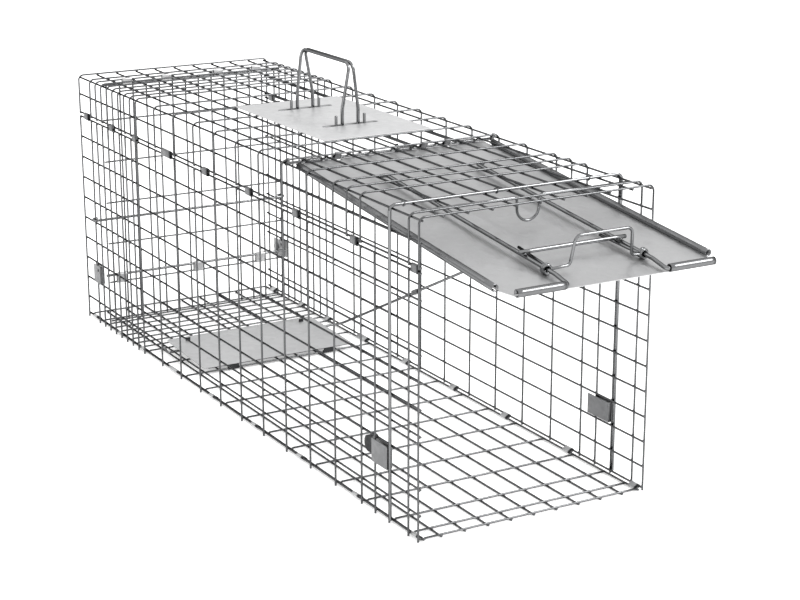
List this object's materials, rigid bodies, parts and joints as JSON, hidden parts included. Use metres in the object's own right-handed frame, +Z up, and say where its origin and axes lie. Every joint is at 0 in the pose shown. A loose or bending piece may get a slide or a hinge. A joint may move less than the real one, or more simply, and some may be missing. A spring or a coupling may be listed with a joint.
{
  "type": "live catch trap",
  "caption": "Wire cage live catch trap with one gravity door, a lock frame, a floor treadle, a trigger rod and a carry handle over a guard plate.",
  "frame": {"origin": "centre of the trap's footprint, on the surface it stands on, with the door set open", "axes": "+Z up, +Y from the open mouth toward the closed rear, +X to the right seen from the mouth"},
  "size_m": [0.2606, 0.9362, 0.3728],
  "materials": {
    "mesh_wire": "bright galvanised welded wire",
    "rod_wire": "bright zinc plated round rod",
    "door_sheet": "galvanised sheet, satin",
    "plate_sheet": "galvanised sheet, light satin",
    "clip_sheet": "zinc plated clip sheet, darker satin"
  },
  "bodies": {
    "cage": {"floor_panel": "mesh_wire", "left_side_panel": "mesh_wire", "right_side_panel": "mesh_wire", "top_panel": "mesh_wire", "top_left_flange": "mesh_wire", "top_right_flange": "mesh_wire", "left_seam_clips": "clip_sheet", "right_seam_clips": "clip_sheet", "left_floor_clips": "clip_sheet", "right_floor_clips": "clip_sheet", "front_stiffener_rod": "rod_wire", "stiffener_rings": "clip_sheet", "mouth_loop": "rod_wire", "left_front_stop": "clip_sheet", "right_front_stop": "clip_sheet", "left_rear_stop": "clip_sheet", "right_rear_stop": "clip_sheet", "rear_cross_rod": "rod_wire", "hand_guard": "plate_sheet", "carry_handle": "rod_wire", "handle_anchors": "rod_wire", "door_hinge_rod": "rod_wire", "door_hinge_straps": "clip_sheet", "trigger_rod_guides": "clip_sheet", "rear_hinge_clips": "clip_sheet"},
    "door": {"door_plate": "door_sheet"},
    "lock_frame": {"lock_frame_arms": "rod_wire", "lock_frame_cross_rod": "rod_wire"},
    "lock_handle": {"lock_handle": "rod_wire"},
    "treadle": {"treadle": "plate_sheet"},
    "trigger_rod": {"trigger_rod": "rod_wire"},
    "rear_panel": {"rear_panel": "mesh_wire", "rear_lock_rod": "rod_wire", "lock_rod_clips": "clip_sheet"}
  },
  "joints": [
    {"name": "door_hinge", "type": "hinge", "parent": "cage", "child": "door", "pos_m": [0, -0.07687, 0.2993], "axis": [-1, 0, 0], "range_deg": [-42.4, 0]},
    {"name": "lock_frame_pivot", "type": "hinge", "parent": "door", "child": "lock_frame", "pos_m": [0, -0.46435, 0.26271], "axis": [-1, 0, 0], "range_deg": [-14.2, 0]},
    {"name": "lock_handle_pivot", "type": "hinge", "parent": "lock_frame", "child": "lock_handle", "pos_m": [0, -0.43056, 0.26854], "axis": [1, 0, 0], "range_deg": [-3, 0]},
    {"name": "treadle_hinge", "type": "hinge", "parent": "cage", "child": "treadle", "pos_m": [0, 0.18402, 0.003], "axis": [-1, 0, 0], "range_deg": [0, 1.9]},
    {"name": "trigger_rod_slide", "type": "slide", "parent": "cage", "child": "trigger_rod", "axis": [0, 0.9023, -0.4311], "range_m": [0, 0.0058]},
    {"name": "rear_panel_hinge", "type": "hinge", "parent": "cage", "child": "rear_panel", "pos_m": [0, 0.41321, 0.2985], "axis": [-1, 0, 0], "range_deg": [0, 80]}
  ],
  "couplings": [
    {"joint": "lock_frame_pivot", "follows": "door_hinge", "ratio": 0.33},
    {"joint": "trigger_rod_slide", "follows": "treadle_hinge", "m_per_rad": 0.1696}
  ]
}
